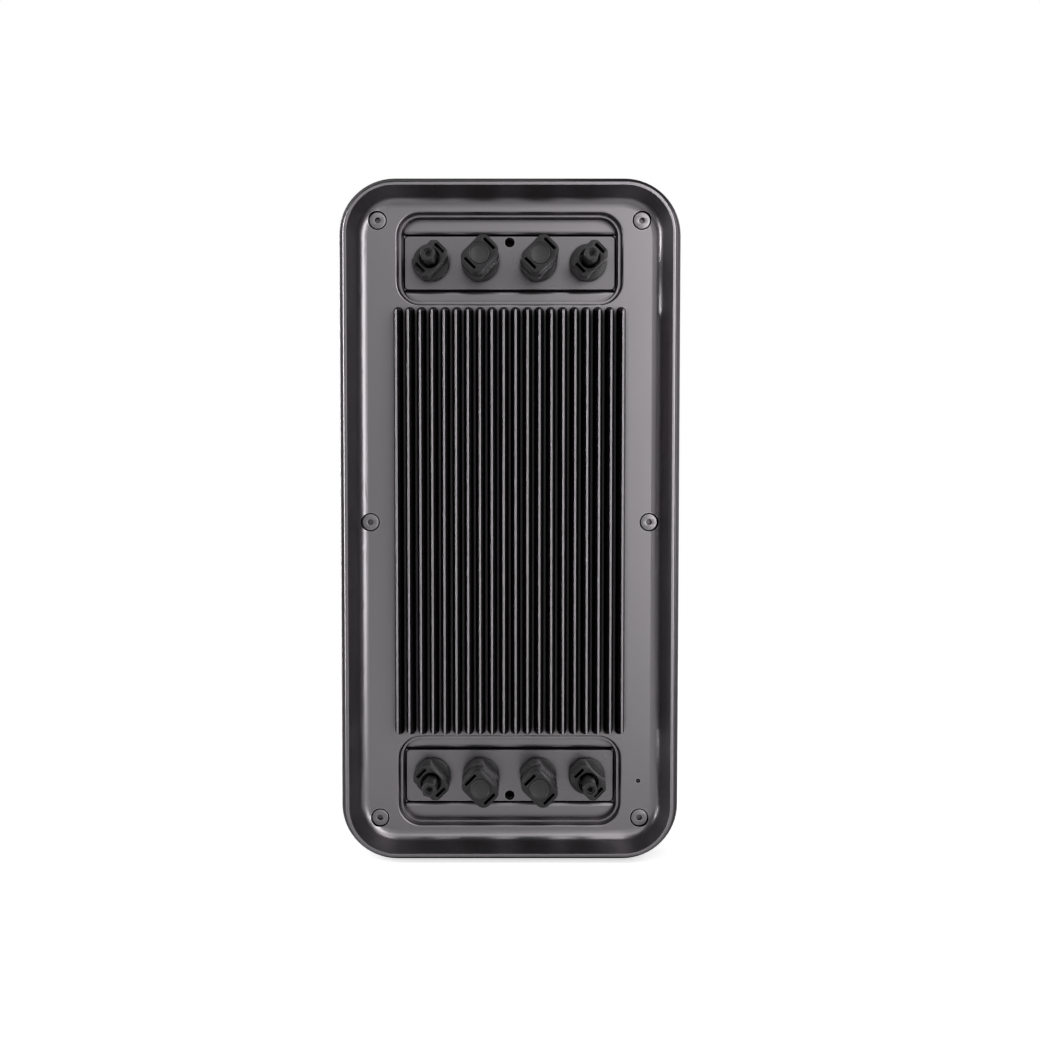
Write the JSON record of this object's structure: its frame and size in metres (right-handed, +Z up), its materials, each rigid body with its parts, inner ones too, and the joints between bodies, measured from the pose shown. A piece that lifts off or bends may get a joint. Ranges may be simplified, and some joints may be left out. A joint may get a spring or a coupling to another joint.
{
  "type": "solar power hub",
  "caption": "Flat sealed metal power hub with a finned tray on its back, a recessed row of latching DC connectors at each end and pull-out dust caps.",
  "frame": {"origin": "midway between the two bracket holes, on the outer plane of the connector plates", "axes": "+Z up along the length, -Y the way the connectors point, +X to the right for someone who faces the connectors"},
  "size_m": [0.182, 0.0605, 0.366],
  "materials": {
    "housing_coat": "satin dark grey coat on cast metal",
    "cover_coat": "satin dark grey coat on cast metal",
    "plate_coat": "smooth semi-gloss dark grey coat",
    "seal_rubber": "matt",
    "coated_screw": "satin dark grey coat",
    "steel_screw": "bright",
    "nut_plastic": "fine moulded",
    "tinned_copper": "bright tin",
    "lead_positive": "smooth",
    "lead_negative": "smooth",
    "terminal_plastic": "moulded",
    "board_laminate": "solder mask",
    "spreader_metal": "milled",
    "thermal_pad": "soft matt",
    "chip_resin": "moulded resin",
    "header_plastic": "moulded",
    "ferrite": "sintered",
    "copper_strip": "enamelled copper",
    "capacitor_sleeve": "shrunk sleeve",
    "film_case": "moulded case",
    "lens_clear": "clear",
    "lamp_epoxy": "clear epoxy",
    "socket_plastic": "fine moulded",
    "plug_plastic": "fine moulded",
    "cap_rubber": "smooth"
  },
  "bodies": {
    "hub": {"board_screws": "steel_screw", "bulk_capacitors": "capacitor_sleeve", "connector_plate_bottom": "plate_coat", "connector_plate_top": "plate_coat", "control_board": "board_laminate", "control_chips": "chip_resin", "control_header": "header_plastic", "film_capacitors": "film_case", "flange_seals": "seal_rubber", "front_cover": "cover_coat", "heat_spreader": "spreader_metal", "housing_screws": "coated_screw", "housing_seal": "seal_rubber", "indicator_board": "board_laminate", "indicator_lamp": "lamp_epoxy", "indicator_lens": "lens_clear", "inductor_cores": "ferrite", "inductor_windings": "copper_strip", "inner_leads": "lead_negative", "lead_terminals": "terminal_plastic", "lock_nuts": "nut_plastic", "main_circuit_board": "board_laminate", "outer_leads": "lead_positive", "pin_contacts": "tinned_copper", "plate_screws": "steel_screw", "plate_seal_bottom": "seal_rubber", "plate_seal_top": "seal_rubber", "plug_shell_bottom_left": "plug_plastic", "plug_shell_bottom_right": "plug_plastic", "plug_shell_top_left": "plug_plastic", "plug_shell_top_right": "plug_plastic", "power_transistors": "chip_resin", "rear_housing": "housing_coat", "socket_contacts": "tinned_copper", "socket_shell_bottom_left": "socket_plastic", "socket_shell_bottom_right": "socket_plastic", "socket_shell_top_left": "socket_plastic", "socket_shell_top_right": "socket_plastic", "spreader_rivets": "steel_screw", "thermal_pads": "thermal_pad", "transistor_pins": "tinned_copper"},
    "cap_bottom_left": {"dust_cap_bottom_left": "cap_rubber"},
    "cap_bottom_right": {"dust_cap_bottom_right": "cap_rubber"},
    "cap_top_left": {"dust_cap_top_left": "cap_rubber"},
    "cap_top_right": {"dust_cap_top_right": "cap_rubber"}
  },
  "joints": [
    {"name": "bottom_left_cap_pull", "type": "slide", "parent": "hub", "child": "cap_bottom_left", "axis": [0, -1, 0], "range_m": [0, 0.03]},
    {"name": "bottom_right_cap_pull", "type": "slide", "parent": "hub", "child": "cap_bottom_right", "axis": [0, -1, 0], "range_m": [0, 0.03]},
    {"name": "top_left_cap_pull", "type": "slide", "parent": "hub", "child": "cap_top_left", "axis": [0, -1, 0], "range_m": [0, 0.03]},
    {"name": "top_right_cap_pull", "type": "slide", "parent": "hub", "child": "cap_top_right", "axis": [0, -1, 0], "range_m": [0, 0.03]}
  ]
}
